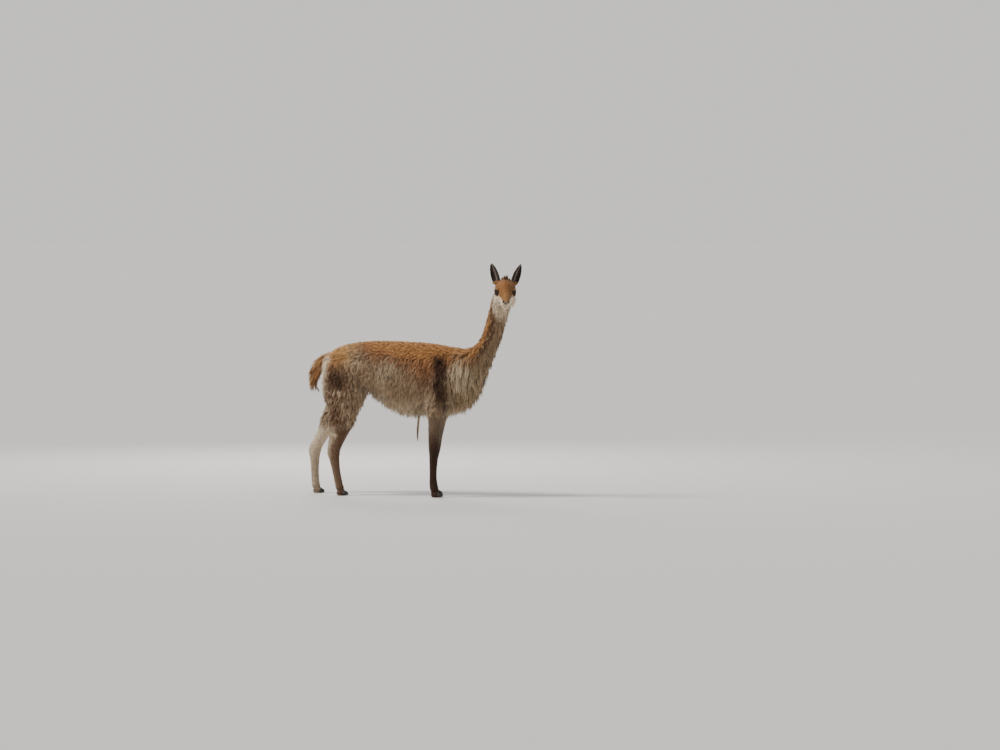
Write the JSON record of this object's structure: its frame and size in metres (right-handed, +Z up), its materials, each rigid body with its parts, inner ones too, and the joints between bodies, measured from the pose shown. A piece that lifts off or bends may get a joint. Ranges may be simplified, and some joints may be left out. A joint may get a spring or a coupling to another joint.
{
  "type": "vicuna model",
  "caption": "Life-size standing vicuna with a long woolly chest bib, hanging belly fringe, brush tail, and head turned to one side.",
  "frame": {"origin": "centre of the bounding box on the floor that the feet stand on", "axes": "+X the way the body faces, +Y the animal's left side, +Z up"},
  "size_m": [1.2959, 0.3866, 1.3071],
  "materials": {
    "coat_back": "tawny woolly coat, cream below",
    "coat_leg": "short coat, cream to dark brown",
    "ear_grey": "short dark fur with pale rims",
    "eye_dark": "wet gloss",
    "nail_dark": "dull horn"
  },
  "bodies": {
    "root": {"head": "coat_back", "neck": "coat_back", "torso": "coat_back", "tail": "coat_back", "leg_front_right": "coat_leg", "leg_front_left": "coat_leg", "thigh_right": "coat_leg", "thigh_left": "coat_leg", "leg_hind_right": "coat_leg", "leg_hind_left": "coat_leg", "ear_right": "ear_grey", "ear_left": "ear_grey", "eye_right": "eye_dark", "eye_left": "eye_dark", "nail_front_right_1": "nail_dark", "nail_front_right_2": "nail_dark", "nail_front_left_1": "nail_dark", "nail_front_left_2": "nail_dark", "nail_hind_right_1": "nail_dark", "nail_hind_right_2": "nail_dark", "nail_hind_left_1": "nail_dark", "nail_hind_left_2": "nail_dark"}
  },
  "joints": []
}
